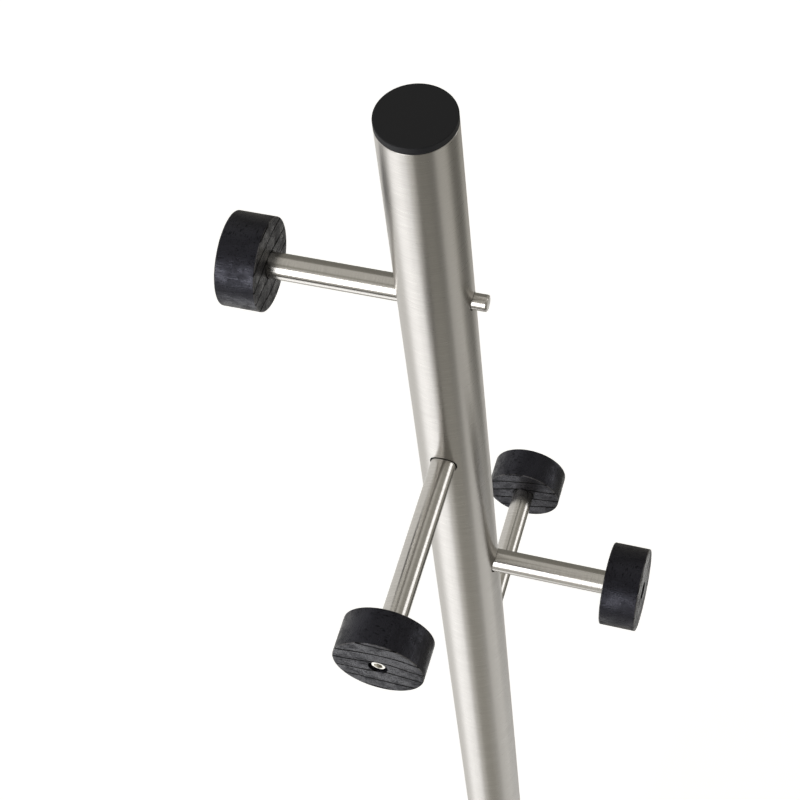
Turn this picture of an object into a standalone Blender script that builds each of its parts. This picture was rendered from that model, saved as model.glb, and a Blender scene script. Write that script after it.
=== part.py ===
"""Standing coat rack: a steel pole on a round foot, with four knobbed hook rods.

The hooks go down the pole in a spiral, a quarter turn and one pitch apart.
The first points to -X, the second to -Y (the front), the third to +X and the
fourth to +Y.  Units are metres, +Z is up and the origin is on the floor, on the
pole's axis.
"""
import math

import bmesh
import bpy
from mathutils import Matrix

# Clearances
TOUCH_GAP = 0.0003            # between two pieces that touch
ROD_HOLE_GAP = 0.0008         # around a rod, in the pole's wall
TAIL_HOLE_GAP = 0.0006        # around a rod's tail, in the pole's far wall
KNOB_RECESS_GAP = 0.0004      # around a rod's end, in its knob

# Overall
TOTAL_HEIGHT = 1.750
POLE_DIAMETER = 0.045
POLE_WALL = 0.002

# Top cap
CAP_THICKNESS = 0.0045
CAP_EDGE_RADIUS = 0.0006
CAP_SPIGOT_DEPTH = 0.018
CAP_SPIGOT_WALL = 0.0025

# Hooks
FIRST_HOOK_DROP = 0.150       # from the cap's top to the first rod's axis
HOOK_PITCH = 0.148
HOOK_TURN_DEG = 90.0
FIRST_HOOK_AZIMUTH_DEG = 180.0
SHORT_REACH = 0.100           # from the pole's axis to the knob's inner face
LONG_REACH = 0.142
HOOKS = (                     # name, reach, whether a tail passes the far wall
    ("hook_1", SHORT_REACH, True),
    ("hook_2", LONG_REACH, False),
    ("hook_3", SHORT_REACH, False),
    ("hook_4", LONG_REACH, False),
)

# Hook rods
ROD_DIAMETER = 0.016
ROD_CHAMFER = 0.0006
ROD_SHOULDER_DEPTH = 0.012    # how far a rod's shoulder goes past the pole's axis
TAIL_DIAMETER = 0.010
TAIL_CHAMFER = 0.001
TAIL_PROUD = 0.0085           # how far a tail stands out of the pole's far wall

# Knobs
KNOB_DIAMETER = 0.0565
KNOB_THICKNESS = 0.0245
KNOB_EDGE_RADIUS = 0.001
KNOB_RECESS_DEPTH = 0.004
COUNTERBORE_GAP = 0.0008      # around the screw's head
COUNTERBORE_DEPTH = 0.0048

# Knob screws
SCREW_DIAMETER = 0.006
SCREW_LENGTH = 0.030          # under the head
SCREW_HEAD_DIAMETER = 0.0104
SCREW_HEAD_HEIGHT = 0.0033
SCREW_HEAD_RIM = 0.001        # straight part under the head's dome
SCREW_CROWN_DIAMETER = 0.0080
SCREW_CHAMFER = 0.0006
SCREW_HEX_WIDTH = 0.004       # across the flats
SCREW_HEX_DEPTH = 0.002
ROD_THREAD_SPARE = 0.004      # depth of a rod's hole past its screw's tip

# Cores, which hold the rods inside the pole, and their lock screws
CORE_HEIGHT = 0.040
LOCK_SCREW_DIAMETER = 0.008
LOCK_SCREW_LENGTH = 0.010
LOCK_SCREW_HEX_WIDTH = 0.004
LOCK_SCREW_HEX_DEPTH = 0.004
LOCK_SCREW_CHAMFER = 0.001

# Foot of the pole
PLUG_LENGTH = 0.045           # inside the pole
PLUG_THREAD_SPARE = 0.006     # depth of the plug's hole past the base screw's tip
SEAT_RING_OVERHANG = 0.0025   # past the pole's outside
SEAT_RING_THICKNESS = 0.003
SEAT_RING_EDGE_RADIUS = 0.0006

# Base
BASE_DIAMETER = 0.380
BASE_THICKNESS = 0.008
BASE_EDGE_RADIUS = 0.001
BASE_SCREW_DIAMETER = 0.012
BASE_SCREW_LENGTH = 0.036
BASE_SCREW_HEAD_DIAMETER = 0.024
BASE_SCREW_HEAD_RIM = 0.0006
BASE_SCREW_HEX_WIDTH = 0.008
BASE_SCREW_HEX_DEPTH = 0.004
DOWEL_DIAMETER = 0.004
DOWEL_BASE_DEPTH = 0.003
DOWEL_PLUG_DEPTH = 0.010
FOOT_COUNT = 6
FOOT_DIAMETER = 0.022
FOOT_THICKNESS = 0.003
FOOT_CHAMFER = 0.0005
FOOT_INSET = 0.012            # from the base's rim to a foot's edge

# Facets round a full turn
POLE_FACETS = 48
KNOB_FACETS = 36
ROD_FACETS = 20
SMALL_FACETS = 16
BASE_FACETS = 72
EDGE_STEPS = 2
SMOOTH_ANGLE_DEG = 35.0

# Heights that the sizes above set
BASE_BOTTOM = FOOT_THICKNESS + TOUCH_GAP
BASE_TOP = BASE_BOTTOM + BASE_THICKNESS
RING_BOTTOM = BASE_TOP + TOUCH_GAP
RING_TOP = RING_BOTTOM + SEAT_RING_THICKNESS
POLE_BOTTOM = RING_TOP + TOUCH_GAP
CAP_BOTTOM = TOTAL_HEIGHT - CAP_THICKNESS
POLE_TOP = CAP_BOTTOM - TOUCH_GAP
POLE_RADIUS = POLE_DIAMETER / 2
BORE_RADIUS = POLE_RADIUS - POLE_WALL
PLUG_RADIUS = BORE_RADIUS - TOUCH_GAP
PLUG_THREAD_RADIUS = BASE_SCREW_DIAMETER / 2 + TOUCH_GAP
COUNTERBORE_RADIUS = SCREW_HEAD_DIAMETER / 2 + COUNTERBORE_GAP


def clear_scene():
    for old in list(bpy.data.objects):
        bpy.data.objects.remove(old, do_unlink=True)


def material(name, color, roughness, metallic):
    """A Principled material; color is linear RGB."""
    made = bpy.data.materials.new(name)
    made.use_nodes = True
    shader = made.node_tree.nodes["Principled BSDF"]
    shader.inputs["Base Color"].default_value = (*color, 1.0)
    shader.inputs["Roughness"].default_value = roughness
    shader.inputs["Metallic"].default_value = metallic
    return made


def arc(center_r, center_z, radius, start_deg, end_deg, steps=EDGE_STEPS):
    """Points (r, z) along an arc, both ends included."""
    points = []
    for step in range(steps + 1):
        angle = math.radians(start_deg + (end_deg - start_deg) * step / steps)
        points.append((center_r + radius * math.cos(angle), center_z + radius * math.sin(angle)))
    return points


def turned_mesh(name, profile, facets, along_x=False):
    """Spin a closed outline of (r, z) points round the axis.

    An outline that starts and ends on the axis gives a solid, and one that
    stays clear of it gives a ring.  along_x lays the axis along +X.
    """
    mesh = bpy.data.meshes.new(name)
    bm = bmesh.new()
    points = [bm.verts.new((r, 0.0, z)) for r, z in profile]
    edges = [bm.edges.new(pair) for pair in zip(points, points[1:])]
    if profile[0][0] > 0.0:
        edges.append(bm.edges.new((points[-1], points[0])))
    bmesh.ops.spin(bm, geom=points + edges, cent=(0, 0, 0), axis=(0, 0, 1), angle=math.tau,
                   steps=facets, use_merge=True)
    bmesh.ops.remove_doubles(bm, verts=bm.verts, dist=1e-6)
    bmesh.ops.dissolve_degenerate(bm, edges=bm.edges, dist=1e-6)
    bmesh.ops.recalc_face_normals(bm, faces=bm.faces)
    if along_x:
        bmesh.ops.rotate(bm, verts=bm.verts, matrix=Matrix.Rotation(math.pi / 2, 3, "Y"))
    bm.to_mesh(mesh)
    bm.free()
    mesh.shade_smooth()
    mesh.set_sharp_from_angle(angle=math.radians(SMOOTH_ANGLE_DEG))
    return mesh


def place(name, mesh, look=None, parent=None, location=(0.0, 0.0, 0.0)):
    """Put a mesh in the scene as one named piece, in its parent's frame."""
    piece = bpy.data.objects.new(name, mesh)
    bpy.context.collection.objects.link(piece)
    piece.parent = parent
    piece.location = location
    if look is not None and not mesh.materials:
        mesh.materials.append(look)
    return piece


def cutter(name, mesh, parent=None, location=(0.0, 0.0, 0.0)):
    """A solid that only cuts others; it is no part of the rack."""
    piece = place(name, mesh, parent=parent, location=location)
    piece.hide_render = True
    piece.display_type = "WIRE"
    return piece


def cut(piece, tool):
    boolean = piece.modifiers.new("cut_" + tool.name, "BOOLEAN")
    boolean.operation = "DIFFERENCE"
    boolean.solver = "EXACT"
    boolean.object = tool


def bar_outline(radius, low, high, chamfer=0.0):
    """Outline of a plain bar from low to high, its ends chamfered."""
    if chamfer == 0.0:
        return [(0.0, low), (radius, low), (radius, high), (0.0, high)]
    return [(0.0, low), (radius - chamfer, low), (radius, low + chamfer),
            (radius, high - chamfer), (radius - chamfer, high), (0.0, high)]


def hex_tool_mesh(name, across_flats, low, high, along_x=False):
    """Six-sided prism for a hexagon socket."""
    corner_radius = across_flats / 2 / math.cos(math.pi / 6)
    return turned_mesh(name, bar_outline(corner_radius, low, high), 6, along_x)


def make_pole(look):
    outline = [(BORE_RADIUS, POLE_BOTTOM), (POLE_RADIUS, POLE_BOTTOM),
               (POLE_RADIUS, POLE_TOP), (BORE_RADIUS, POLE_TOP)]
    return place("pole_tube", turned_mesh("pole_tube", outline, POLE_FACETS), look)


def make_cap(look):
    spigot = PLUG_RADIUS
    spigot_bottom = CAP_BOTTOM - CAP_SPIGOT_DEPTH
    outline = [(0.0, CAP_BOTTOM), (spigot - CAP_SPIGOT_WALL, CAP_BOTTOM),
               (spigot - CAP_SPIGOT_WALL, spigot_bottom), (spigot, spigot_bottom),
               (spigot, CAP_BOTTOM), (POLE_RADIUS, CAP_BOTTOM)]
    outline += arc(POLE_RADIUS - CAP_EDGE_RADIUS, TOTAL_HEIGHT - CAP_EDGE_RADIUS,
                   CAP_EDGE_RADIUS, 0, 90)
    outline.append((0.0, TOTAL_HEIGHT))
    place("top_cap", turned_mesh("top_cap", outline, POLE_FACETS), look)


def rod_mesh(reach, has_tail):
    """Hook rod along +X, from its shoulder or tail to its end inside the knob."""
    radius = ROD_DIAMETER / 2
    shoulder = -ROD_SHOULDER_DEPTH
    end = reach + KNOB_RECESS_DEPTH - TOUCH_GAP
    hole_radius = SCREW_DIAMETER / 2 + TOUCH_GAP
    screw_tip = reach + KNOB_THICKNESS - COUNTERBORE_DEPTH - SCREW_LENGTH
    outline = []
    if has_tail:
        tail_radius = TAIL_DIAMETER / 2
        tail_end = -POLE_RADIUS - TAIL_PROUD
        outline += [(0.0, tail_end), (tail_radius - TAIL_CHAMFER, tail_end),
                    (tail_radius, tail_end + TAIL_CHAMFER), (tail_radius, shoulder)]
    else:
        outline.append((0.0, shoulder))
    outline += [(radius - ROD_CHAMFER, shoulder), (radius, shoulder + ROD_CHAMFER),
                (radius, end - ROD_CHAMFER), (radius - ROD_CHAMFER, end),
                (hole_radius, end), (hole_radius, screw_tip - ROD_THREAD_SPARE),
                (0.0, screw_tip - ROD_THREAD_SPARE)]
    return turned_mesh("hook_rod", outline, ROD_FACETS, along_x=True)


def knob_mesh():
    """Knob round +X, its inner face at the origin."""
    radius = KNOB_DIAMETER / 2
    corner = radius - KNOB_EDGE_RADIUS
    screw_hole = SCREW_DIAMETER / 2 + TOUCH_GAP
    recess = ROD_DIAMETER / 2 + KNOB_RECESS_GAP
    floor = KNOB_THICKNESS - COUNTERBORE_DEPTH
    outline = [(recess, 0.0)]
    outline += arc(corner, KNOB_EDGE_RADIUS, KNOB_EDGE_RADIUS, -90, 0)
    outline += arc(corner, KNOB_THICKNESS - KNOB_EDGE_RADIUS, KNOB_EDGE_RADIUS, 0, 90)
    outline += [(COUNTERBORE_RADIUS, KNOB_THICKNESS), (COUNTERBORE_RADIUS, floor),
                (screw_hole, floor), (screw_hole, KNOB_RECESS_DEPTH),
                (recess, KNOB_RECESS_DEPTH)]
    return turned_mesh("knob", outline, KNOB_FACETS, along_x=True)


def screw_mesh():
    """Button-head knob screw along +X, the underside of its head at the origin."""
    shank = SCREW_DIAMETER / 2
    head = SCREW_HEAD_DIAMETER / 2
    crown = SCREW_CROWN_DIAMETER / 2
    dome = SCREW_HEAD_HEIGHT - SCREW_HEAD_RIM
    outline = [(0.0, -SCREW_LENGTH), (shank - SCREW_CHAMFER, -SCREW_LENGTH),
               (shank, SCREW_CHAMFER - SCREW_LENGTH), (shank, 0.0), (head, 0.0)]
    for step in range(EDGE_STEPS + 1):
        angle = math.pi / 2 * step / EDGE_STEPS
        outline.append((crown + (head - crown) * math.cos(angle),
                        SCREW_HEAD_RIM + dome * math.sin(angle)))
    outline.append((0.0, SCREW_HEAD_HEIGHT))
    return turned_mesh("knob_screw", outline, ROD_FACETS, along_x=True)


def make_knob(name, reach, frame, looks):
    """The knob on a rod's end, and the button-head screw that holds it."""
    place(name + "_knob", knob_mesh(), looks["knob"], frame, (reach, 0.0, 0.0))
    head_seat = (reach + KNOB_THICKNESS - COUNTERBORE_DEPTH + TOUCH_GAP, 0.0, 0.0)
    screw = place(name + "_screw", screw_mesh(), looks["fastener"], frame, head_seat)
    socket = hex_tool_mesh("screw_socket", SCREW_HEX_WIDTH, SCREW_HEAD_HEIGHT - SCREW_HEX_DEPTH,
                           SCREW_HEAD_HEIGHT + SCREW_HEX_DEPTH, along_x=True)
    cut(screw, cutter(name + "_screw_socket", socket, frame, head_seat))


def make_core(name, has_tail, frame, pole, looks):
    """The core that holds a rod inside the pole, with the holes that the rod needs."""
    core_outline = bar_outline(PLUG_RADIUS, -CORE_HEIGHT / 2, CORE_HEIGHT / 2)
    core = place(name + "_core", turned_mesh("hook_core", core_outline, POLE_FACETS),
                 looks["core"], frame)
    rod_bore = bar_outline(ROD_DIAMETER / 2 + TOUCH_GAP, -ROD_SHOULDER_DEPTH - TOUCH_GAP,
                           POLE_RADIUS)
    cut(core, cutter(name + "_core_bore",
                     turned_mesh("core_bore", rod_bore, ROD_FACETS, along_x=True), frame))
    wall_hole = bar_outline(ROD_DIAMETER / 2 + ROD_HOLE_GAP, POLE_RADIUS / 2, POLE_DIAMETER)
    cut(pole, cutter(name + "_wall_hole",
                     turned_mesh("wall_hole", wall_hole, ROD_FACETS, along_x=True), frame))
    if has_tail:
        tail_hole = bar_outline(TAIL_DIAMETER / 2 + TAIL_HOLE_GAP, -POLE_DIAMETER, 0.0)
        tail_tool = cutter(name + "_tail_hole",
                           turned_mesh("tail_hole", tail_hole, ROD_FACETS, along_x=True), frame)
        cut(core, tail_tool)
        cut(pole, tail_tool)
    lock_hole = bar_outline(LOCK_SCREW_DIAMETER / 2 + TOUCH_GAP, 0.0, CORE_HEIGHT)
    cut(core, cutter(name + "_lock_hole", turned_mesh("lock_hole", lock_hole, SMALL_FACETS),
                     frame))


def make_lock_screw(name, frame, looks):
    """Socket screw down the middle of a core, its tip on the rod."""
    low = ROD_DIAMETER / 2 + TOUCH_GAP
    top = low + LOCK_SCREW_LENGTH
    outline = bar_outline(LOCK_SCREW_DIAMETER / 2, low, top, LOCK_SCREW_CHAMFER)
    lock = place(name + "_lock_screw", turned_mesh("lock_screw", outline, SMALL_FACETS),
                 looks["lock"], frame)
    socket = hex_tool_mesh("lock_socket", LOCK_SCREW_HEX_WIDTH, top - LOCK_SCREW_HEX_DEPTH,
                           top + LOCK_SCREW_HEX_DEPTH)
    cut(lock, cutter(name + "_lock_socket", socket, frame))


def make_hook(index, name, reach, has_tail, pole, looks):
    """One hook, in a frame on the pole's axis whose +X runs out along the rod."""
    frame = bpy.data.objects.new(name + "_frame", None)
    bpy.context.collection.objects.link(frame)
    frame.location.z = TOTAL_HEIGHT - FIRST_HOOK_DROP - index * HOOK_PITCH
    frame.rotation_euler.z = math.radians(FIRST_HOOK_AZIMUTH_DEG + index * HOOK_TURN_DEG)
    place(name + "_rod", rod_mesh(reach, has_tail), looks["rod"], frame)
    make_knob(name, reach, frame, looks)
    make_core(name, has_tail, frame, pole, looks)
    make_lock_screw(name, frame, looks)


def make_pole_foot(ring_look, plug_look):
    """Seat ring under the pole and the threaded plug inside its lower end."""
    ring_outer = POLE_RADIUS + SEAT_RING_OVERHANG
    outline = [(BORE_RADIUS, RING_BOTTOM), (ring_outer, RING_BOTTOM)]
    outline += arc(ring_outer - SEAT_RING_EDGE_RADIUS, RING_TOP - SEAT_RING_EDGE_RADIUS,
                   SEAT_RING_EDGE_RADIUS, 0, 90)
    outline.append((BORE_RADIUS, RING_TOP))
    place("pole_seat_ring", turned_mesh("pole_seat_ring", outline, POLE_FACETS), ring_look)

    hole_top = BASE_BOTTOM + BASE_SCREW_LENGTH + PLUG_THREAD_SPARE
    plug_top = POLE_BOTTOM + PLUG_LENGTH
    outline = [(0.0, hole_top), (PLUG_THREAD_RADIUS, hole_top), (PLUG_THREAD_RADIUS, RING_BOTTOM),
               (PLUG_RADIUS, RING_BOTTOM), (PLUG_RADIUS, plug_top), (0.0, plug_top)]
    return place("pole_foot_plug", turned_mesh("pole_foot_plug", outline, POLE_FACETS), plug_look)


def make_base(look, fastener_look, foot_look, plug):
    """Round base plate, its screw and dowel into the plug, and the feet under it."""
    radius = BASE_DIAMETER / 2
    corner = radius - BASE_EDGE_RADIUS
    shank = BASE_SCREW_DIAMETER / 2
    head = BASE_SCREW_HEAD_DIAMETER / 2
    cone_height = head - shank
    rim_top = BASE_BOTTOM + BASE_SCREW_HEAD_RIM
    outline = [(head + TOUCH_GAP, BASE_BOTTOM)]
    outline += arc(corner, BASE_BOTTOM + BASE_EDGE_RADIUS, BASE_EDGE_RADIUS, -90, 0)
    outline += arc(corner, BASE_TOP - BASE_EDGE_RADIUS, BASE_EDGE_RADIUS, 0, 90)
    outline += [(shank + TOUCH_GAP, BASE_TOP), (shank + TOUCH_GAP, rim_top + cone_height),
                (head + TOUCH_GAP, rim_top)]
    plate = place("base_plate", turned_mesh("base_plate", outline, BASE_FACETS), look)

    screw_low = BASE_BOTTOM
    screw_rim = rim_top - TOUCH_GAP
    outline = [(0.0, screw_low), (head, screw_low), (head, screw_rim),
               (shank, screw_rim + cone_height), (shank, screw_low + BASE_SCREW_LENGTH),
               (0.0, screw_low + BASE_SCREW_LENGTH)]
    screw = place("base_screw", turned_mesh("base_screw", outline, ROD_FACETS), fastener_look)
    socket = hex_tool_mesh("base_screw_socket", BASE_SCREW_HEX_WIDTH,
                           screw_low - BASE_SCREW_HEX_DEPTH, screw_low + BASE_SCREW_HEX_DEPTH)
    cut(screw, cutter("base_screw_socket", socket))

    dowel_at = ((PLUG_THREAD_RADIUS + PLUG_RADIUS) / 2, 0.0, 0.0)
    dowel_low = BASE_TOP - DOWEL_BASE_DEPTH
    dowel_high = RING_BOTTOM + DOWEL_PLUG_DEPTH
    dowel_hole = bar_outline(DOWEL_DIAMETER / 2 + TOUCH_GAP, dowel_low - TOUCH_GAP,
                             dowel_high + TOUCH_GAP)
    dowel_tool = cutter("dowel_hole", turned_mesh("dowel_hole", dowel_hole, SMALL_FACETS),
                        location=dowel_at)
    cut(plate, dowel_tool)
    cut(plug, dowel_tool)
    dowel = bar_outline(DOWEL_DIAMETER / 2, dowel_low, dowel_high)
    place("base_dowel", turned_mesh("base_dowel", dowel, SMALL_FACETS), fastener_look,
          location=dowel_at)

    foot_outline = [(0.0, 0.0), (FOOT_DIAMETER / 2 - FOOT_CHAMFER, 0.0),
                    (FOOT_DIAMETER / 2, FOOT_CHAMFER), (FOOT_DIAMETER / 2, FOOT_THICKNESS),
                    (0.0, FOOT_THICKNESS)]
    foot_mesh = turned_mesh("foot_pad", foot_outline, ROD_FACETS)
    foot_ring = radius - FOOT_INSET - FOOT_DIAMETER / 2
    for index in range(FOOT_COUNT):
        angle = math.tau * (index + 0.5) / FOOT_COUNT
        spot = (foot_ring * math.cos(angle), foot_ring * math.sin(angle), 0.0)
        place("foot_pad_%d" % (index + 1), foot_mesh, foot_look, location=spot)


def main():
    clear_scene()
    brushed = material("brushed_stainless_steel", (0.50, 0.48, 0.45), 0.32, 1.0)
    satin = material("satin_stainless_steel", (0.55, 0.53, 0.50), 0.22, 1.0)
    stained_ash = material("black_stained_ash", (0.012, 0.013, 0.016), 0.55, 0.0)
    black_plastic = material("matt_black_plastic", (0.018, 0.018, 0.019), 0.60, 0.0)
    polished = material("polished_stainless_steel", (0.62, 0.61, 0.59), 0.18, 1.0)
    oxide = material("black_oxide_steel", (0.020, 0.020, 0.022), 0.45, 0.6)
    anodised = material("black_anodised_aluminium", (0.020, 0.020, 0.022), 0.40, 0.8)
    aluminium = material("turned_aluminium", (0.60, 0.61, 0.62), 0.40, 1.0)
    black_rubber = material("black_rubber", (0.015, 0.015, 0.015), 0.80, 0.0)
    hook_looks = {"rod": satin, "knob": stained_ash, "fastener": polished, "core": anodised,
                  "lock": oxide}

    pole = make_pole(brushed)
    make_cap(black_plastic)
    for index, (name, reach, has_tail) in enumerate(HOOKS):
        make_hook(index, name, reach, has_tail, pole, hook_looks)
    plug = make_pole_foot(black_plastic, aluminium)
    make_base(brushed, polished, black_rubber, plug)


main()
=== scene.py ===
import math

import bmesh
import bpy
from mathutils import Matrix, Vector


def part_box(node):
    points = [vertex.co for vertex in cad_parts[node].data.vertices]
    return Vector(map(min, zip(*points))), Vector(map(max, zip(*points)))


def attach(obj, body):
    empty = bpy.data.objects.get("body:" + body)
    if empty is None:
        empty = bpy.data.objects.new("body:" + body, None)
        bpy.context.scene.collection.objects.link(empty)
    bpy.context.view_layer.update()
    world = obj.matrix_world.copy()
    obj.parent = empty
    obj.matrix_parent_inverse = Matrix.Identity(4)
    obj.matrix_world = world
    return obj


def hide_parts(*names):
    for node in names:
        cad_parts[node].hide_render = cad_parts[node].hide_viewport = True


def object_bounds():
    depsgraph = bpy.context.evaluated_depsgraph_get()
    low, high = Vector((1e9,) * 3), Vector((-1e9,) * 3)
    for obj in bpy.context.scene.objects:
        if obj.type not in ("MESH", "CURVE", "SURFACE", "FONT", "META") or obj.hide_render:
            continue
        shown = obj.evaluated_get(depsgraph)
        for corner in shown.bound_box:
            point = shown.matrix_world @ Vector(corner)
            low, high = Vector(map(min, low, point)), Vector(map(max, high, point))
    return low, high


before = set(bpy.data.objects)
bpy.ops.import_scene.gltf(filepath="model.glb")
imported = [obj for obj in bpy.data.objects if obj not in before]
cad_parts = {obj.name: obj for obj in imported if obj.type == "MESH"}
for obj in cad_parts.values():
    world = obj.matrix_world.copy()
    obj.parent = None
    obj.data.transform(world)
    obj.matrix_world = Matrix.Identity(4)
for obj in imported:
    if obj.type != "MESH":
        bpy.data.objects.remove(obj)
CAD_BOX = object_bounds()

MM = 0.001

# Clearances and inner sizes that a node's box does not show
TOUCH_GAP = 0.3 * MM
ROD_HOLE_GAP = 0.8 * MM
TAIL_HOLE_GAP = 0.6 * MM
KNOB_RECESS_GAP = 0.4 * MM
COUNTERBORE_GAP = 0.8 * MM
POLE_WALL = 2.0 * MM
POLE_END_ROUND = 0.3 * MM
CAP_EDGE_ROUND = 0.6 * MM
CAP_SPIGOT_WALL = 2.5 * MM
ROD_SHOULDER_DEPTH = 12.0 * MM
ROD_END_CHAMFER = 0.6 * MM
TAIL_RADIUS = 5.0 * MM
TAIL_CHAMFER = 1.0 * MM
THREAD_RADIUS = 3.0 * MM
THREAD_SPARE = 4.0 * MM
THREAD_PITCH = 1.0 * MM
THREAD_DEPTH = 0.55 * MM
KNOB_EDGE_ROUND = 0.8 * MM
KNOB_RECESS_DEPTH = 4.0 * MM
COUNTERBORE_EDGE = 0.25 * MM
HEAD_HEIGHT = 3.3 * MM
HEAD_RIM = 1.0 * MM
HEAD_CROWN_RADIUS = 4.0 * MM
HEAD_HEX_WIDTH = 5.0 * MM
HEAD_HEX_DEPTH = 2.0 * MM
LOCK_HEX_WIDTH = 4.0 * MM
LOCK_HEX_DEPTH = 4.0 * MM
LOCK_CHAMFER = 1.0 * MM
CORE_EDGE_CHAMFER = 0.5 * MM
RING_EDGE_ROUND = 0.6 * MM
PLUG_THREAD_SPARE = 6.0 * MM
BASE_EDGE_ROUND = 1.0 * MM
BASE_SHANK_RADIUS = 6.0 * MM
BASE_HEAD_RIM = 0.6 * MM
BASE_HEX_WIDTH = 8.0 * MM
BASE_HEX_DEPTH = 4.0 * MM
DOWEL_CHAMFER = 0.4 * MM
FOOT_EDGE_ROUND = 0.5 * MM
FOOT_DIMPLE_RADIUS = 3.0 * MM
FOOT_DIMPLE_DEPTH = 0.6 * MM

# Half the height of the band of short faces round each hole, in radii of the hole
HOLE_BAND = 1.5

# Facets round a full turn, and along a rounded edge
POLE_FACETS = 256
KNOB_FACETS = 192
ROD_FACETS = 96
SMALL_FACETS = 64
BASE_FACETS = 360
FLOOR_FACETS = 96
HEXAGON = 6
ROUND_STEPS = 4
DOME_STEPS = 8
SMOOTH_ANGLE = math.radians(35.0)
WELD = 1e-6
QUARTER_TURN = 90.0

FOOT_COUNT = 6
HOOKS = ("hook_1", "hook_2", "hook_3", "hook_4")
FEET = tuple("foot_pad_%d" % number for number in range(1, FOOT_COUNT + 1))

# How far each knob's grain is turned round the knob's own axis, in degrees from level
GRAIN_TURNS = {"hook_1": 4.0, "hook_2": -2.0, "hook_3": 9.0, "hook_4": -14.0}


# ---------------------------------------------------------------- mesh tools

def outline_mesh(outline):
    """An outline of (radius, height, corner) points, its corners rounded.

    corner is the length that the rounding takes off each side, or 0.  The
    outline closes on itself unless it starts on the axis.
    """
    bm = bmesh.new()
    points = [bm.verts.new((radius, 0.0, height)) for radius, height, _ in outline]
    for pair in zip(points, points[1:]):
        bm.edges.new(pair)
    if outline[0][0] > 0.0:
        bm.edges.new((points[-1], points[0]))
    for point, (_, _, corner) in zip(points, outline):
        if corner > 0.0:
            bmesh.ops.bevel(bm, geom=[point], offset=corner, segments=ROUND_STEPS,
                            profile=0.5, affect="VERTICES", material=-1)
    return bm


def turned(outline, facets, place=None, along_x=False):
    """Spin an outline round its axis, and put the shape in place."""
    bm = outline_mesh(outline)
    bmesh.ops.spin(bm, geom=bm.verts[:] + bm.edges[:], cent=(0, 0, 0), axis=(0, 0, 1),
                   angle=math.tau, steps=facets, use_merge=True)
    bmesh.ops.remove_doubles(bm, verts=bm.verts, dist=WELD)
    bmesh.ops.dissolve_degenerate(bm, edges=bm.edges, dist=WELD)
    bmesh.ops.recalc_face_normals(bm, faces=bm.faces)
    if along_x:
        bmesh.ops.rotate(bm, verts=bm.verts, matrix=Matrix.Rotation(math.pi / 2, 3, "Y"))
    if place is not None:
        bmesh.ops.transform(bm, matrix=place, verts=bm.verts)
    return bm


def finished(name, bm):
    """Make a bmesh a smooth shaded object in the scene."""
    mesh = bpy.data.meshes.new(name)
    bm.to_mesh(mesh)
    bm.free()
    piece = bpy.data.objects.new(name, mesh)
    bpy.context.collection.objects.link(piece)
    shade(piece)
    return piece


def shade(piece):
    """Shade a piece smoothly, and keep its real edges sharp."""
    piece.data.shade_smooth()
    piece.data.set_sharp_from_angle(angle=SMOOTH_ANGLE)


def cut_away(piece, tools):
    """Cut shapes out of a piece, and delete the tools."""
    cutters = [finished(piece.name + "_cutter", tool) for tool in tools]
    for cutter in cutters:
        boolean = piece.modifiers.new("cut", "BOOLEAN")
        boolean.operation = "DIFFERENCE"
        boolean.solver = "EXACT"
        boolean.object = cutter
    bpy.context.view_layer.update()
    depsgraph = bpy.context.evaluated_depsgraph_get()
    carved = bpy.data.meshes.new_from_object(piece.evaluated_get(depsgraph))
    piece.modifiers.clear()
    piece.data = carved
    for cutter in cutters:
        bpy.data.objects.remove(cutter, do_unlink=True)
    shade(piece)


def bar(radius, low, high, corner=0.0):
    """Outline of a plain bar, its two rims eased by corner."""
    return [(0.0, low, 0.0), (radius, low, corner), (radius, high, corner), (0.0, high, 0.0)]


def hex_tool(across_flats, low, high, place=None, along_x=False):
    """A six-sided prism, which cuts a hexagon socket."""
    corner_radius = across_flats / 2 / math.cos(math.pi / HEXAGON)
    return turned(bar(corner_radius, low, high), HEXAGON, place, along_x)


def thread(radius, low, high):
    """Outline points of a screw thread's ridges, from low to high."""
    count = int((high - low) / THREAD_PITCH)
    points = []
    for ridge in range(count):
        foot = low + ridge * THREAD_PITCH
        points.append((radius - THREAD_DEPTH, foot, 0.0))
        points.append((radius, foot + THREAD_PITCH / 2, 0.0))
    points.append((radius - THREAD_DEPTH, low + count * THREAD_PITCH, 0.0))
    return points


def install(piece, node, look):
    """Give a piece its look, and let it stand for its CAD node."""
    piece.data.materials.clear()
    piece.data.materials.append(look)
    even = piece.modifiers.new("even_normals", "WEIGHTED_NORMAL")
    even.keep_sharp = True
    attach(piece, "root")
    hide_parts(node)


# ------------------------------------------------------- sizes from the frame

POLE_LOW, POLE_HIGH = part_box("pole_tube")
POLE_RADIUS = (POLE_HIGH.x - POLE_LOW.x) / 2
BORE_RADIUS = POLE_RADIUS - POLE_WALL
CORE_RADIUS = BORE_RADIUS - TOUCH_GAP
THROUGH = 2 * POLE_RADIUS


def along(node, direction):
    """The nearest and farthest distance of a node's box along a level direction."""
    low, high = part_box(node)
    reaches = sorted((low.dot(direction), high.dot(direction)))
    return reaches[0], reaches[1]


def upright(node):
    """An upright round node's place on the floor, radius, bottom and top."""
    low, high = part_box(node)
    middle = (low + high) / 2
    place = Matrix.Translation((middle.x, middle.y, 0.0))
    return place, (high.x - low.x) / 2, low.z, high.z


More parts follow.
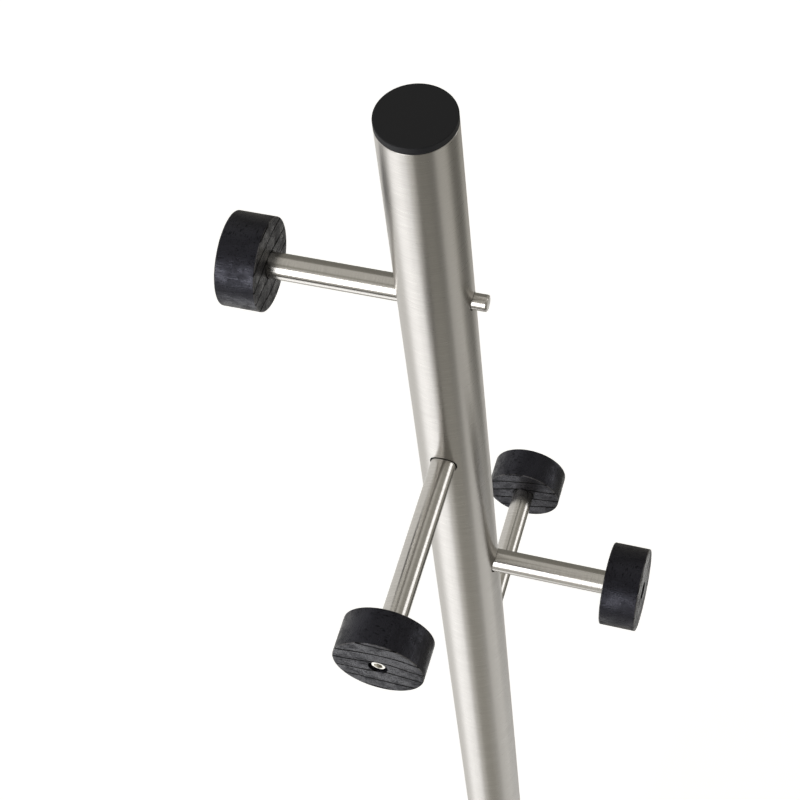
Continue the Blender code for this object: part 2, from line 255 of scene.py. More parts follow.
class Hook:
    """Where one hook lies, read from its rod, knob and screw."""

    def __init__(self, name):
        self.name = name
        knob_low, knob_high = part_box(name + "_knob")
        middle = (knob_low + knob_high) / 2
        self.knob_middle = middle
        self.knob_radius = (knob_high.z - knob_low.z) / 2
        azimuth = math.degrees(math.atan2(middle.y, middle.x))
        self.azimuth = round(azimuth / QUARTER_TURN) * QUARTER_TURN
        turn = math.radians(self.azimuth)
        self.out = Vector((round(math.cos(turn)), round(math.sin(turn)), 0.0))
        self.place = (Matrix.Translation((0.0, 0.0, middle.z))
                      @ Matrix.Rotation(turn, 4, "Z"))
        self.reach, self.knob_end = along(name + "_knob", self.out)
        self.rod_start, self.rod_end = along(name + "_rod", self.out)
        self.screw_tip, self.screw_top = along(name + "_screw", self.out)
        screw_low, screw_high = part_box(name + "_screw")
        self.head_radius = (screw_high.z - screw_low.z) / 2
        rod_low, rod_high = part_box(name + "_rod")
        self.rod_radius = (rod_high.z - rod_low.z) / 2
        self.has_tail = self.rod_start < -POLE_RADIUS
        self.shaft_axis = "X" if abs(self.out.x) > abs(self.out.y) else "Y"


# ------------------------------------------------------------------ materials

# Stainless steel's slightly warm grey, in the grit's lines and between them
STEEL = ("#D0CDC9", "#C6C3BF")
STEEL_SHADE_SPREAD = (0.3, 0.7)
STEEL_GLOSS_SPREAD = (0.25, 0.75)
STEEL_BUMP = 0.12

# A quarter turn lays the smear of the reflections across the grit's lines
GRINDING_TURN = 0.25

# Ground steel: name, the axis it was ground round, smoothest and roughest, spacing,
# length and depth of the lines, and how far reflections smear across them
TUBE_GRINDING = ("brushed_stainless_tube", "Z", (0.27, 0.33), 0.4 * MM, 16.0 * MM,
                 0.02 * MM, 0.5)
PLATE_GRINDING = ("circle_brushed_plate", "Z", (0.28, 0.38), 0.7 * MM, 16.0 * MM,
                  0.02 * MM, 0.6)
# The same for the hook rods, less the name and the axis: ground finer, so glossier
BAR_GRINDING = ((0.18, 0.24), 0.5 * MM, 8.0 * MM, 0.01 * MM, 0.4)

# Surfaces with an even fine grain: name, two shades, smoothest and roughest, size and
# depth of the grain, and the shader's constants.  Real grain under half a millimetre
# is too fine to show, so it is drawn coarser, at the size given.
GRAIN_SPREAD = (0.3, 0.7)
GRAIN_BUMP = 0.4
FINISHES = {
    # Stainless steel, cold headed and tumbled: small clear glints with slow waves
    "screw": ("polished_stainless_screw", ("#D8D6D0", "#CFCCC5"), (0.10, 0.16), 2.0 * MM,
              0.005 * MM, {"Metallic": 1.0}),
    # ABS, moulded in a grained tool: matt black with a faint even pebble
    "plastic": ("matt_moulded_abs", ("#121317", "#17181C"), (0.50, 0.62), 0.6 * MM,
                0.03 * MM, {"Specular_IOR_Level": 0.30}),
    # Rubber, moulded: dull and slightly dusty, with hardly a highlight
    "rubber": ("moulded_black_rubber", ("#161616", "#1E1E1E"), (0.75, 0.88), 0.8 * MM,
               0.05 * MM, {"IOR": 1.5}),
    # Aluminium, turned and left bare: pale, with a soft broken highlight
    "aluminium": ("turned_aluminium", ("#C9CACC", "#BFC0C2"), (0.34, 0.44), 0.8 * MM,
                  0.01 * MM, {"Metallic": 1.0}),
    # Aluminium, anodised black: a dyed oxide skin, so no metal's colour in its shine; on the
    # cores the black is also painted shade, so the gap round each rod shows dark
    "anodised": ("black_anodised_aluminium", ("#141416", "#1B1B1D"), (0.38, 0.5), 0.8 * MM,
                 0.01 * MM, {"IOR": 1.6}),
    # Steel, blackened in a hot bath: a thin oiled oxide skin, a little glossier
    "oxide": ("black_oxide_steel", ("#1A1A1C", "#232326"), (0.34, 0.48), 0.8 * MM,
              0.01 * MM, {"IOR": 1.6}),
}

# Black ash.  The knobs are cut from a plank's face, where a ring 2 to 3 mm wide is
# cut at a slant and shows as a band RING_WIDTH wide.  The rings lean by RING_TILT
# through the knob, bow by RING_BOW per metre along it, and wander over RING_WANDER.
RING_WIDTH = 10.5 * MM
RING_WANDER = 45.0 * MM
RING_TILT = 0.05
RING_BOW = 2.5
EARLY_WOOD_DARK = 0.07
EARLY_WOOD_SHARE = 0.20
LINE_ON_SIDE = 0.16
PORE_WIDTH = 0.45 * MM
PORE_LENGTH = 3.5 * MM
STREAK_WIDTH = 1.0 * MM
STREAK_LENGTH = 7.0 * MM
MOTTLE = 9.0 * MM
MOTTLE_IN_SHEEN = 0.5

# The face and the paler rim (partly wear, partly a painted highlight along the edge) start this
# far from an edge, and are full from here
RIM_WIDTH = 0.8 * MM
RIM_FULL = 0.2 * MM
FACE_FULL = 0.4 * MM
# colour of the paler rim: partly wear, partly a painted highlight along the edge
WEAR_AND_HIGHLIGHT_RIM = "#767472"
STAINED = ("#050508", "#101018")
LACQUER_IOR = 1.47
LACQUER_TINT = (0.83, 0.83, 1.0, 1.0)
WOOD_BUMP = 0.8
WOOD_RELIEF = 0.14 * MM
# the pores' dull dark: partly the stain, partly painted shade for light trapped in the pits
PIT_SHADE = "#040404"
PIT_ROUGHNESS = 1.0
PIT_SHINE = 0.05

# How the wood's noises become factors: from low, from high, to low, to high
STAIN_SPREAD = (0.30, 0.65, 0.0, 1.0)
LINE_BREAKS = (0.30, 0.50, 0.40, 1.0)
FLECK_START = (0.35, 0.65, 0.64, 0.54)
FLECK_EDGE = (0.0, 0.06, 0.0, 0.8)
# RIM_BREAKS breaks up the paler rim, which is wear and painted highlight together
RIM_BREAKS = (0.35, 0.65, 0.30, 1.0)
SHEEN_SPREAD = (0.40, 0.60, 0.22, 0.48)

# Detail of a noise: its octaves, and how strong each is beside the one before
PLAIN = 1.0
LINED = 2.0
FINE = 3.0
OCTAVE_SHARE = 0.6


def linear(hex_color):
    """An sRGB hex colour as linear RGBA, by the standard's own curve."""
    channels = [int(hex_color[place:place + 2], 16) / 255 for place in (1, 3, 5)]
    return [c / 12.92 if c <= 0.04045 else ((c + 0.055) / 1.055) ** 2.4 for c in channels] + [1.0]


def add(tree, kind, inputs=None, **settings):
    """Add a node, with its settings, and its inputs as values or as other nodes' outputs."""
    made = tree.nodes.new(kind)
    for name, value in settings.items():
        setattr(made, name, value)
    for socket, value in (inputs or {}).items():
        if isinstance(value, bpy.types.NodeSocket):
            tree.links.new(value, made.inputs[socket])
        else:
            made.inputs[socket].default_value = value
    return made


def surface(name, **constants):
    """A new material: its node tree and its Principled shader with constant inputs set."""
    made = bpy.data.materials.new(name)
    made.use_nodes = True
    shader = made.node_tree.nodes["Principled BSDF"]
    for socket, value in constants.items():
        shader.inputs[socket.replace("_", " ")].default_value = value
    return made, made.node_tree, shader


def ramp(tree, factor, low, high, to_low=0.0, to_high=1.0):
    """Map a factor smoothly from one range to another."""
    return add(tree, "ShaderNodeMapRange",
               {"Value": factor, "From Min": low, "From Max": high,
                "To Min": to_low, "To Max": to_high},
               interpolation_type="SMOOTHSTEP").outputs["Result"]


def reckon(tree, operation, *values):
    """One step of arithmetic on factors."""
    return add(tree, "ShaderNodeMath", dict(enumerate(values)),
               operation=operation).outputs["Value"]


def blend(tree, factor, low, high):
    """Mix two colours by a factor."""
    return add(tree, "ShaderNodeMix", {"Factor": factor, "A": low, "B": high},
               data_type="RGBA").outputs["Result"]


def drawn_noise(tree, vector, lengths, detail=LINED):
    """Noise drawn out along the axes: its grains have the lengths given."""
    stretched = add(tree, "ShaderNodeMapping",
                    {"Vector": vector, "Scale": [1.0 / length for length in lengths]})
    return add(tree, "ShaderNodeTexNoise",
               {"Vector": stretched.outputs["Vector"], "Scale": 1.0, "Detail": detail,
                "Roughness": OCTAVE_SHARE}).outputs["Fac"]


def raised_by_radius(tree, where):
    """Add each place's distance from the Z axis to its height.

    Lines that circle a shaft then go on as circles over a flat face.
    """
    level = add(tree, "ShaderNodeVectorMath", {0: where, 1: (1.0, 1.0, 0.0)},
                operation="MULTIPLY")
    radius = add(tree, "ShaderNodeVectorMath", {0: level.outputs["Vector"]}, operation="LENGTH")
    rise = add(tree, "ShaderNodeCombineXYZ", {"Z": radius.outputs["Value"]})
    return add(tree, "ShaderNodeVectorMath", {0: where, 1: rise.outputs["Vector"]},
               operation="ADD").outputs["Vector"]


def brushed_steel(name, axis, roughness, spacing, line_length, depth, anisotropy):
    """Stainless steel ground round its axis.

    The grit leaves fine rings, so reflections smear along the axis and stay
    crisp round the shape.  Real rings are 0.05 mm apart, too fine to show, so
    they are drawn at the spacing given.
    """
    made, tree, shader = surface(name, Metallic=1.0, Anisotropic=anisotropy,
                                 Anisotropic_Rotation=GRINDING_TURN)
    where = add(tree, "ShaderNodeTexCoord").outputs["Object"]
    if axis == "Z":
        where = raised_by_radius(tree, where)
    lengths = [line_length] * 3
    lengths["XYZ".index(axis)] = spacing
    lines = drawn_noise(tree, where, lengths)
    shades = blend(tree, ramp(tree, lines, *STEEL_SHADE_SPREAD), *map(linear, STEEL))
    tree.links.new(shades, shader.inputs["Base Color"])
    rough = ramp(tree, lines, *STEEL_GLOSS_SPREAD, *roughness)
    tree.links.new(rough, shader.inputs["Roughness"])
    bump = add(tree, "ShaderNodeBump",
               {"Height": lines, "Strength": STEEL_BUMP, "Distance": depth})
    tree.links.new(bump.outputs["Normal"], shader.inputs["Normal"])
    round_axis = add(tree, "ShaderNodeTangent", direction_type="RADIAL", axis=axis)
    tree.links.new(round_axis.outputs["Tangent"], shader.inputs["Tangent"])
    return made


def knob_space(tree, hook):
    """Places inside a knob: x along its axis, y along its grain and z across the grain."""
    turn = (math.radians(GRAIN_TURNS[hook.name]), 0.0, math.radians(hook.azimuth))
    where = add(tree, "ShaderNodeTexCoord")
    return add(tree, "ShaderNodeMapping",
               {"Vector": where.outputs["Object"], "Location": hook.knob_middle,
                "Rotation": turn}, vector_type="TEXTURE").outputs["Vector"]


def growth_rings(tree, local, depth, grain, height):
    """A factor that is 1 where each ring's early wood starts, and fades through it."""
    wander = drawn_noise(tree, local, [RING_WANDER] * 3, PLAIN)
    tilted = reckon(tree, "MULTIPLY_ADD", depth, RING_TILT, height)
    bowed = reckon(tree, "MULTIPLY_ADD", reckon(tree, "MULTIPLY", grain, grain), RING_BOW, tilted)
    phase = reckon(tree, "FRACT",
                   reckon(tree, "MULTIPLY_ADD", bowed, 1 / RING_WIDTH, wander))
    return ramp(tree, phase, EARLY_WOOD_DARK, EARLY_WOOD_SHARE, 1.0, 0.0)


def black_ash(hook):
    """Ash stained black and lacquered thinly, turned from a plank's face.

    The open pores of each ring's early wood drink the stain and show on the
    knob's flat faces as dark lines along the grain, with short flecks between;
    their dull black is partly the stain and partly painted shade for light trapped in the pits.
    The lathe's cut leaves the side smoother, with a broken, slightly blue sheen.
    Real pores are 0.25 mm wide, too fine to show, and are drawn twice as wide.
    """
    made, tree, shader = surface("black_stained_ash_" + hook.name, IOR=LACQUER_IOR,
                                 Specular_Tint=LACQUER_TINT)
    local = knob_space(tree, hook)
    parts = add(tree, "ShaderNodeSeparateXYZ", {"Vector": local})
    depth, grain, height = (parts.outputs[axis] for axis in "XYZ")
    half = (hook.knob_end - hook.reach) / 2
    off_middle = reckon(tree, "ABSOLUTE", depth)
    on_face = ramp(tree, off_middle, half - RIM_WIDTH, half - FACE_FULL)

    # pores, in the early wood's lines and in the flecks between them
    fibre = drawn_noise(tree, local, (PORE_WIDTH, PORE_LENGTH, PORE_WIDTH))
    mottle = drawn_noise(tree, local, [MOTTLE] * 3)
    early = growth_rings(tree, local, depth, grain, height)
    weight = ramp(tree, on_face, 0.0, 1.0, LINE_ON_SIDE, 1.0)
    line = reckon(tree, "MULTIPLY", reckon(tree, "MULTIPLY", early, weight),
                  ramp(tree, fibre, *LINE_BREAKS))
    fleck_start = ramp(tree, mottle, *FLECK_START)
    fleck = ramp(tree, reckon(tree, "SUBTRACT", fibre, fleck_start), *FLECK_EDGE)
    pores = reckon(tree, "MAXIMUM", line, fleck)

    # the rim, painted paler: partly wear from handling, partly a painted highlight along the edge
    wide = reckon(tree, "MULTIPLY_ADD", height, height, reckon(tree, "MULTIPLY", grain, grain))
    near_side = ramp(tree, reckon(tree, "SQRT", wide), hook.knob_radius - RIM_WIDTH,
                     hook.knob_radius - RIM_FULL)
    near_face = ramp(tree, off_middle, half - RIM_WIDTH, half - RIM_FULL)
    wear_and_highlight_rim = reckon(tree, "MULTIPLY", reckon(tree, "MULTIPLY", near_side, near_face),
                    ramp(tree, fibre, *RIM_BREAKS))

    wood = blend(tree, ramp(tree, fibre, *STAIN_SPREAD), *map(linear, STAINED))
    wood_with_wear_and_highlight = blend(tree, wear_and_highlight_rim, wood, linear(WEAR_AND_HIGHLIGHT_RIM))
    tree.links.new(wood_with_wear_and_highlight, shader.inputs["Base Color"])
    streaks = drawn_noise(tree, local, (STREAK_LENGTH, STREAK_WIDTH, STREAK_WIDTH), FINE)
    patchy = reckon(tree, "MULTIPLY_ADD", mottle, MOTTLE_IN_SHEEN,
                    reckon(tree, "MULTIPLY", streaks, 1.0 - MOTTLE_IN_SHEEN))
    tree.links.new(ramp(tree, patchy, *SHEEN_SPREAD), shader.inputs["Roughness"])
    relief = reckon(tree, "SUBTRACT", reckon(tree, "ADD", streaks, fibre), pores)
    bump = add(tree, "ShaderNodeBump",
               {"Height": relief, "Strength": WOOD_BUMP, "Distance": WOOD_RELIEF})
    tree.links.new(bump.outputs["Normal"], shader.inputs["Normal"])

    # inside the pores there is no lacquer to shine; the dark matt shader there is also painted
    # shade for light trapped in the pits
    pit_shade = add(tree, "ShaderNodeBsdfPrincipled",
              {"Base Color": linear(PIT_SHADE), "Roughness": PIT_ROUGHNESS,
               "Specular IOR Level": PIT_SHINE})
    whole = add(tree, "ShaderNodeMixShader",
                {0: pores, 1: shader.outputs["BSDF"], 2: pit_shade.outputs["BSDF"]})
    tree.links.new(whole.outputs["Shader"], tree.nodes["Material Output"].inputs["Surface"])
    return made


def grained(name, shades, roughness, grain_size, depth, constants):
    """A surface with an even fine grain, from one of the finishes above."""
    made, tree, shader = surface(name, **constants)
    where = add(tree, "ShaderNodeTexCoord").outputs["Object"]
    grain = drawn_noise(tree, where, [grain_size] * 3, FINE)
    mixed = blend(tree, ramp(tree, grain, *GRAIN_SPREAD), *map(linear, shades))
    tree.links.new(mixed, shader.inputs["Base Color"])
    rough = ramp(tree, grain, *GRAIN_SPREAD, *roughness)
    tree.links.new(rough, shader.inputs["Roughness"])
    bump = add(tree, "ShaderNodeBump",
               {"Height": grain, "Strength": GRAIN_BUMP, "Distance": depth})
    tree.links.new(bump.outputs["Normal"], shader.inputs["Normal"])
    return made


# --------------------------------------------------------------------- pieces

def drill(hook, radius, start, end):
    """A round cutting tool along a hook's own line, between two distances from the axis."""
    return turned(bar(radius, start, end), ROD_FACETS, hook.place, along_x=True)


def tail_drill(hook):
    """The tool for the hole that a tail leaves by."""
    return drill(hook, TAIL_RADIUS + TAIL_HOLE_GAP, -THROUGH, 0.0)


def make_pole(hooks, look):
    """The tube, with a clearance hole for each rod and for each tail."""
    outline = [(BORE_RADIUS, POLE_LOW.z, 0.0), (POLE_RADIUS, POLE_LOW.z, POLE_END_ROUND),
               (POLE_RADIUS, POLE_HIGH.z, POLE_END_ROUND), (BORE_RADIUS, POLE_HIGH.z, 0.0)]
    bm = turned(outline, POLE_FACETS)
    tools = []
    for hook in hooks:
        hole_radius = hook.rod_radius + ROD_HOLE_GAP
        for edge in (-HOLE_BAND * hole_radius, HOLE_BAND * hole_radius):
            level = (0.0, 0.0, hook.knob_middle.z + edge)
            bmesh.ops.bisect_plane(bm, geom=bm.verts[:] + bm.edges[:] + bm.faces[:],
                                   plane_co=level, plane_no=(0, 0, 1))
        tools.append(drill(hook, hole_radius, BORE_RADIUS / 2, THROUGH))
        if hook.has_tail:
            tools.append(tail_drill(hook))
    pole = finished("brushed_pole", bm)
    cut_away(pole, tools)
    install(pole, "pole_tube", look)


def make_cap(look):
    """The moulded cap, with the spigot that holds it in the tube."""
    low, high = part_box("top_cap")
    shelf = POLE_HIGH.z + TOUCH_GAP
    outline = [(0.0, shelf, 0.0), (CORE_RADIUS - CAP_SPIGOT_WALL, shelf, 0.0),
               (CORE_RADIUS - CAP_SPIGOT_WALL, low.z, 0.0), (CORE_RADIUS, low.z, 0.0),
               (CORE_RADIUS, shelf, 0.0), (POLE_RADIUS, shelf, 0.0),
               (POLE_RADIUS, high.z, CAP_EDGE_ROUND), (0.0, high.z, 0.0)]
    install(finished("moulded_cap", turned(outline, POLE_FACETS)), "top_cap",
            look)


def make_rod(hook, look):
    """A hook rod, turned down to a tail where the far wall holds it too."""
    radius = hook.rod_radius
    shoulder = -ROD_SHOULDER_DEPTH
    hole = THREAD_RADIUS + TOUCH_GAP
    hole_floor = hook.screw_tip - THREAD_SPARE
    outline = []
    if hook.has_tail:
        outline += [(0.0, hook.rod_start, 0.0), (TAIL_RADIUS, hook.rod_start, TAIL_CHAMFER),
                    (TAIL_RADIUS, shoulder, 0.0)]
    else:
        outline.append((0.0, shoulder, 0.0))
    outline += [(radius, shoulder, ROD_END_CHAMFER), (radius, hook.rod_end, ROD_END_CHAMFER),
                (hole, hook.rod_end, 0.0), (hole, hole_floor, 0.0), (0.0, hole_floor, 0.0)]
    rod = turned(outline, ROD_FACETS, hook.place, along_x=True)
    install(finished(hook.name + "_bar", rod), hook.name + "_rod", look)


def make_knob(hook, look):
    """A turned knob, recessed for the rod's end and counterbored for the screw."""
    recess = hook.rod_radius + KNOB_RECESS_GAP
    counterbore = hook.head_radius + COUNTERBORE_GAP
    screw_hole = THREAD_RADIUS + TOUCH_GAP
    floor = hook.screw_top - HEAD_HEIGHT - TOUCH_GAP
    outline = [(recess, hook.reach, COUNTERBORE_EDGE),
               (hook.knob_radius, hook.reach, KNOB_EDGE_ROUND),
               (hook.knob_radius, hook.knob_end, KNOB_EDGE_ROUND),
               (counterbore, hook.knob_end, COUNTERBORE_EDGE), (counterbore, floor, 0.0),
               (screw_hole, floor, 0.0), (screw_hole, hook.reach + KNOB_RECESS_DEPTH, 0.0),
               (recess, hook.reach + KNOB_RECESS_DEPTH, 0.0)]
    knob = turned(outline, KNOB_FACETS, hook.place, along_x=True)
    install(finished(hook.name + "_turned_knob", knob), hook.name + "_knob", look)


def make_knob_screw(hook, look):
    """A button-head screw with its thread and hexagon socket."""
    seat = hook.screw_top - HEAD_HEIGHT
    dome = HEAD_HEIGHT - HEAD_RIM
    width = hook.head_radius - HEAD_CROWN_RADIUS
    outline = [(0.0, hook.screw_tip, 0.0)]
    outline += thread(THREAD_RADIUS, hook.screw_tip, seat)
    outline += [(THREAD_RADIUS - THREAD_DEPTH, seat, 0.0), (hook.head_radius, seat, 0.0)]
    for step in range(DOME_STEPS + 1):
        angle = math.pi / 2 * step / DOME_STEPS
        outline.append((HEAD_CROWN_RADIUS + width * math.cos(angle),
                        seat + HEAD_RIM + dome * math.sin(angle), 0.0))
    outline.append((0.0, hook.screw_top, 0.0))
    screw = finished(hook.name + "_button_screw",
                     turned(outline, SMALL_FACETS, hook.place, along_x=True))
    cut_away(screw, [hex_tool(HEAD_HEX_WIDTH, hook.screw_top - HEAD_HEX_DEPTH,
                              hook.screw_top + HEAD_HEX_DEPTH, hook.place, along_x=True)])
    install(screw, hook.name + "_screw", look)


def make_core(hook, look, lock_look):
    """The core that holds a rod inside the pole, and its lock screw."""
    low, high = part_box(hook.name + "_core")
    lock_low, lock_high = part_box(hook.name + "_lock_screw")
    lock_radius = (lock_high.x - lock_low.x) / 2
    core = finished(hook.name + "_turned_core",
                    turned(bar(CORE_RADIUS, low.z, high.z, CORE_EDGE_CHAMFER), POLE_FACETS))
    tools = [drill(hook, hook.rod_radius + TOUCH_GAP, -ROD_SHOULDER_DEPTH - TOUCH_GAP, THROUGH),
             turned(bar(lock_radius + TOUCH_GAP, hook.knob_middle.z, high.z + lock_radius),
                    SMALL_FACETS)]
    if hook.has_tail:
        tools.append(tail_drill(hook))
    cut_away(core, tools)
    # the core's black stands in for the shade in the gap round each rod: painted shade
    install(core, hook.name + "_core", look)

    lock = finished(hook.name + "_socket_screw",
                    turned(bar(lock_radius, lock_low.z, lock_high.z, LOCK_CHAMFER), SMALL_FACETS))
    cut_away(lock, [hex_tool(LOCK_HEX_WIDTH, lock_high.z - LOCK_HEX_DEPTH,
                             lock_high.z + LOCK_HEX_DEPTH)])
    install(lock, hook.name + "_lock_screw", lock_look)


def make_foot_of_pole(looks):
    """The seat ring under the tube, and the plug inside its lower end."""
    low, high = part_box("pole_seat_ring")
    outline = [(BORE_RADIUS, low.z, 0.0), (high.x, low.z, 0.0),
               (high.x, high.z, RING_EDGE_ROUND), (BORE_RADIUS, high.z, 0.0)]
    install(finished("moulded_seat_ring", turned(outline, POLE_FACETS)), "pole_seat_ring",
            looks["plastic"])

    plug_low, plug_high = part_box("pole_foot_plug")
    hole_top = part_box("base_screw")[1].z + PLUG_THREAD_SPARE
    hole = BASE_SHANK_RADIUS + TOUCH_GAP
    outline = [(0.0, hole_top, 0.0), (hole, hole_top, 0.0), (hole, plug_low.z, 0.0),
               (plug_high.x, plug_low.z, 0.0), (plug_high.x, plug_high.z, CORE_EDGE_CHAMFER),
               (0.0, plug_high.z, 0.0)]
    plug = finished("turned_foot_plug", turned(outline, POLE_FACETS))
    cut_away(plug, [dowel_hole()])
    install(plug, "pole_foot_plug", looks["aluminium"])


def dowel_hole():
    """The tool for the hole that the dowel sits in, from the plate up into the plug."""
    place, radius, low, high = upright("base_dowel")
    return turned(bar(radius + TOUCH_GAP, low - TOUCH_GAP, high + TOUCH_GAP), SMALL_FACETS,
                  place)


def make_base(looks):
    """The round plate, its screw and dowel, and the pads under it."""
    low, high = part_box("base_plate")
    screw_low, screw_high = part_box("base_screw")
    head = (screw_high.x - screw_low.x) / 2
    cone = head - BASE_SHANK_RADIUS
    rim_top = screw_low.z + BASE_HEAD_RIM
    outline = [(head + TOUCH_GAP, low.z, 0.0), (high.x, low.z, BASE_EDGE_ROUND),
               (high.x, high.z, BASE_EDGE_ROUND), (BASE_SHANK_RADIUS + TOUCH_GAP, high.z, 0.0),
               (BASE_SHANK_RADIUS + TOUCH_GAP, rim_top + cone, 0.0),
               (head + TOUCH_GAP, rim_top, 0.0)]
    plate = finished("brushed_base_plate", turned(outline, BASE_FACETS))
    cut_away(plate, [dowel_hole()])
    install(plate, "base_plate", looks["plate"])

    rim = rim_top - TOUCH_GAP
    outline = [(0.0, screw_low.z, 0.0), (head, screw_low.z, 0.0), (head, rim, 0.0),
               (BASE_SHANK_RADIUS, rim + cone, 0.0),
               (BASE_SHANK_RADIUS, screw_high.z, DOWEL_CHAMFER), (0.0, screw_high.z, 0.0)]
    screw = finished("countersunk_base_screw", turned(outline, SMALL_FACETS))
    cut_away(screw, [hex_tool(BASE_HEX_WIDTH, screw_low.z - BASE_HEX_DEPTH,
                              screw_low.z + BASE_HEX_DEPTH)])
    install(screw, "base_screw", looks["screw"])

    place, radius, pin_low, pin_high = upright("base_dowel")
    pin = turned(bar(radius, pin_low, pin_high, DOWEL_CHAMFER), SMALL_FACETS, place)
    install(finished("ground_dowel", pin), "base_dowel", looks["screw"])

    for name in FEET:
        place, radius, bottom, top = upright(name)
        outline = [(0.0, bottom + FOOT_DIMPLE_DEPTH, 0.0), (FOOT_DIMPLE_RADIUS, bottom, 0.0),
                   (radius, bottom, FOOT_EDGE_ROUND), (radius, top, 0.0), (0.0, top, 0.0)]
        pad = turned(outline, SMALL_FACETS, place)
        install(finished("rubber_" + name, pad), name, looks["rubber"])


# --------------------------------------------------------------- the studio

FLOOR_RADIUS = 9.0
FLOOR_COLOR = "#EDEDED"
FLOOR_LIGHT = "#FFFFFF"
FLOOR_GLOW = 0.55
FLOOR_ROUGHNESS = 0.9

# The light where no card is, and what the camera sees behind the rack
ROOM_LIGHT = 0.5
SKYLINE_WHITE = 1.3

# Dim light is a little warm, and turns neutral between these two brightnesses
WARM_TO_NEUTRAL = (0.2, 1.5)
WARM_SHADE = (0.832, 0.8, 0.704, 1.0)
DAYLIGHT = (0.8, 0.8, 0.8, 1.0)

ALL_ROUND = 180.0
ZENITH = 90.0

# Cards round the set: name, azimuth and half width (180 goes all round), lowest and
# highest elevation, softness of the edges, all in degrees, and brightness.
CARDS = (
    ("ceiling", 0.0, 180.0, 44.0, 90.0, 12.0, 0.74),
    ("lit floor", 0.0, 180.0, -90.0, -57.0, 6.0, 0.92),
    ("lit floor before the rack", 22.0, 58.0, -90.0, -60.0, 6.0, 1.16),
    ("side wall", 165.0, 50.0, -62.0, 36.0, 12.0, 1.02),
    ("floor under the key", 225.0, 20.0, -66.0, -42.0, 14.0, 2.10),
    ("floor behind the rack", 95.0, 24.0, -72.0, -55.0, 8.0, 1.00),
    ("dark doorway", 104.0, 12.0, -44.0, 44.0, 7.0, 0.27),
    ("grey screen", 262.0, 6.0, -50.0, -8.0, 5.0, 0.85),
    ("dark room behind the camera", 301.0, 24.0, -57.0, 72.0, 8.0, 0.18),
    ("floor in the camera's shade", 290.0, 14.0, -90.0, -57.0, 7.0, 0.58),
    ("floor under the rack", 0.0, 180.0, -90.0, -74.0, 5.0, 0.46),
    ("dark flag", 34.0, 28.0, -34.0, 44.0, 8.0, 0.44),
    ("dark skirting", 34.0, 20.0, -56.0, -38.0, 6.0, 0.15),
    ("dark truss", 80.0, 12.0, 59.0, 66.0, 4.0, 0.12),
    ("strip light", 28.0, 4.0, -8.0, 12.0, 4.0, 2.70),
    ("softbox frame", 236.0, 12.0, 52.0, 63.0, 4.0, 0.42),
    ("key softbox", 249.0, 12.0, -7.0, 32.0, 3.0, 6.00),
    ("stand under the key", 248.0, 7.0, -41.0, -28.0, 4.0, 0.05),
)


def make_world():
    """Soft panels of light all round, on a plain pale backdrop."""
    world = bpy.data.worlds.new("studio")
    bpy.context.scene.world = world
    world.use_nodes = True
    tree = world.node_tree
    tree.nodes.clear()
    ray = add(tree, "ShaderNodeTexCoord").outputs["Generated"]
    rise = add(tree, "ShaderNodeSeparateXYZ", {"Vector": ray}).outputs["Z"]
    level = add(tree, "ShaderNodeVectorMath", {0: ray, 1: (1.0, 1.0, 0.0)}, operation="MULTIPLY")
    level = add(tree, "ShaderNodeVectorMath", {0: level.outputs["Vector"]}, operation="NORMALIZE")
    light = ROOM_LIGHT
    for name, azimuth, half, low, high, soft, brightness in CARDS:
        turn = math.radians(azimuth)
        masks = []
        if half < ALL_ROUND:
            toward = add(tree, "ShaderNodeVectorMath",
                         {0: level.outputs["Vector"], 1: (math.cos(turn), math.sin(turn), 0.0)},
                         operation="DOT_PRODUCT").outputs["Value"]
            masks.append(ramp(tree, toward, math.cos(math.radians(half + soft)),
                              math.cos(math.radians(half))))
        if low > -ZENITH:
            masks.append(ramp(tree, rise, math.sin(math.radians(low - soft)),
                              math.sin(math.radians(low))))
        if high < ZENITH:
            masks.append(ramp(tree, rise, math.sin(math.radians(high)),
                              math.sin(math.radians(high + soft)), 1.0, 0.0))
        mask = masks[0]
        for other in masks[1:]:
            mask = reckon(tree, "MULTIPLY", mask, other)
        light = add(tree, "ShaderNodeMix", {"Factor": mask, "A": light, "B": brightness},
                    label=name).outputs["Result"]
    seen = add(tree, "ShaderNodeLightPath").outputs["Is Camera Ray"]
    light = add(tree, "ShaderNodeMix", {"Factor": seen, "A": light, "B": SKYLINE_WHITE})
    tint = blend(tree, ramp(tree, light.outputs["Result"], *WARM_TO_NEUTRAL), WARM_SHADE,
                 DAYLIGHT)
    glow = add(tree, "ShaderNodeBackground",
               {"Color": tint, "Strength": light.outputs["Result"]})
    add(tree, "ShaderNodeOutputWorld", {"Surface": glow.outputs["Background"]})


def make_floor():
    """A wide white floor, lit from within like a back-lit acrylic sweep."""
    bm = bmesh.new()
    bmesh.ops.create_circle(bm, cap_ends=True, segments=FLOOR_FACETS, radius=FLOOR_RADIUS)
    floor = finished("floor", bm)
    look = surface("white_acrylic_sweep", Base_Color=linear(FLOOR_COLOR),
                   Roughness=FLOOR_ROUGHNESS, Emission_Color=linear(FLOOR_LIGHT),
                   Emission_Strength=FLOOR_GLOW)[0]
    floor.data.materials.append(look)
    floor.visible_glossy = False


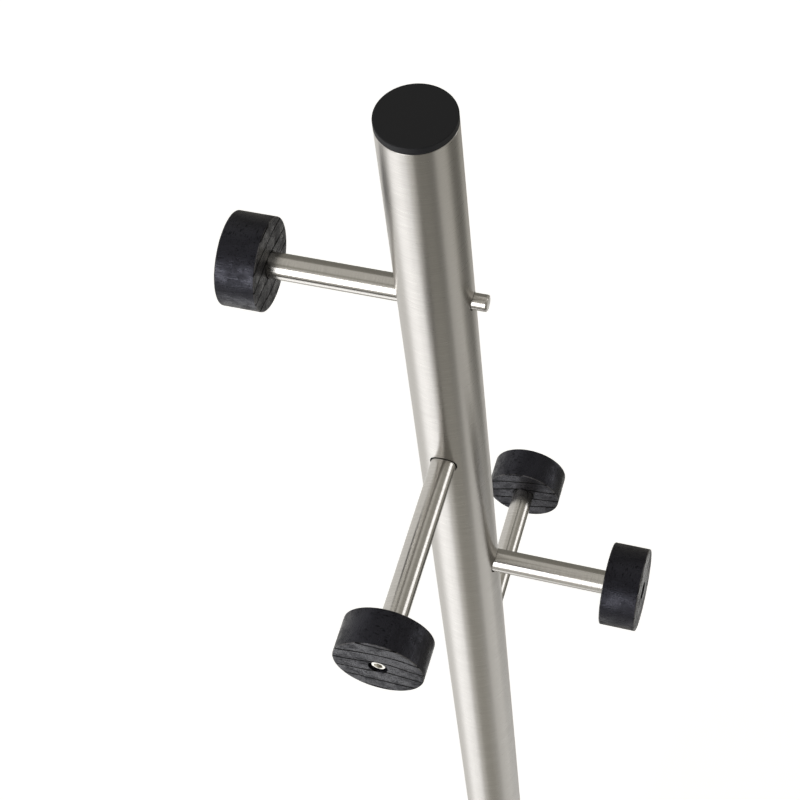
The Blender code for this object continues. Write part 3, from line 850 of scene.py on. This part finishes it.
# Where the camera stands and how it is turned, in metres and degrees
CAMERA_AZIMUTH = 290.763
CAMERA_DISTANCE = 0.6953
CAMERA_ABOVE_TOP = 0.756
CAMERA_PAN = -2.410
CAMERA_DIP = 55.360
CAMERA_ROLL = -8.545
LENS_MM = 90.03
FARTHEST_SEEN = 50.0


def make_camera():
    """A long lens, close above the rack and looking steeply down past the pole."""
    data = bpy.data.cameras.new("camera")
    data.lens = LENS_MM
    data.clip_end = FARTHEST_SEEN
    camera = bpy.data.objects.new("camera", data)
    bpy.context.collection.objects.link(camera)
    turn = math.radians(CAMERA_AZIMUTH)
    spot = Vector((CAMERA_DISTANCE * math.cos(turn), CAMERA_DISTANCE * math.sin(turn),
                   CAD_BOX[1][2] + CAMERA_ABOVE_TOP))
    heading = turn + math.pi - math.radians(CAMERA_PAN)
    dip = math.radians(CAMERA_DIP)
    forward = Vector((math.cos(heading) * math.cos(dip), math.sin(heading) * math.cos(dip),
                      -math.sin(dip)))
    right = forward.cross(Vector((0.0, 0.0, 1.0))).normalized()
    up = right.cross(forward)
    tilt = Matrix.Rotation(math.radians(CAMERA_ROLL), 3, -forward)
    right, up = tilt @ right, tilt @ up
    facing = Matrix((right, up, -forward)).transposed().to_4x4()
    camera.matrix_world = Matrix.Translation(spot) @ facing
    bpy.context.scene.camera = camera


def main():
    """Make every piece with its look, then the studio round them."""
    hooks = [Hook(name) for name in HOOKS]
    bars = {axis: brushed_steel("satin_stainless_bar_" + axis.lower(), axis, *BAR_GRINDING)
            for axis in "XY"}
    looks = {use: grained(*finish) for use, finish in FINISHES.items()}
    looks["plate"] = brushed_steel(*PLATE_GRINDING)
    make_pole(hooks, brushed_steel(*TUBE_GRINDING))
    make_cap(looks["plastic"])
    for hook in hooks:
        make_rod(hook, bars[hook.shaft_axis])
        make_knob(hook, black_ash(hook))
        make_knob_screw(hook, looks["screw"])
        make_core(hook, looks["anodised"], looks["oxide"])
    make_foot_of_pole(looks)
    make_base(looks)
    make_floor()
    make_world()
    make_camera()
    bpy.context.scene.view_settings.view_transform = "Standard"


main()
